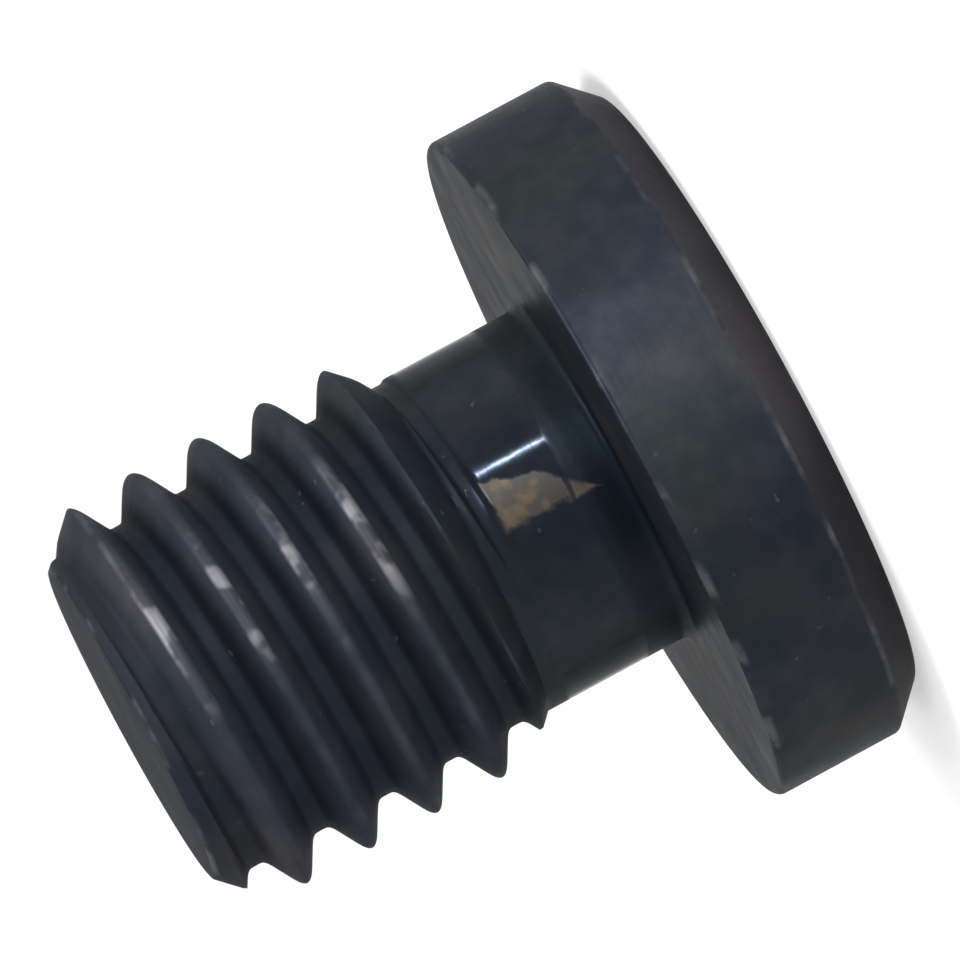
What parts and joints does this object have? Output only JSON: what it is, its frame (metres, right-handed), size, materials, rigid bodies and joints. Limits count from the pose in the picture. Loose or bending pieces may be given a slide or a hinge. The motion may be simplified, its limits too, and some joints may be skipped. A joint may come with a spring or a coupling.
{
  "type": "knife clamp screw",
  "caption": "Short clamp screw with a wide low cylindrical head, a plain neck and a coarse threaded shank with a bevelled tip.",
  "frame": {"origin": "centre of the drive face, which the screw stands on", "axes": "+Z along the screw's axis from the head to the threaded tip; +X towards the side where a crest lies 3.66 mm over the bearing face"},
  "size_m": [0.01, 0.01, 0.0096],
  "materials": {
    "blackened_steel": "satin"
  },
  "bodies": {
    "root": {"clamp_screw": "blackened_steel"}
  },
  "joints": []
}
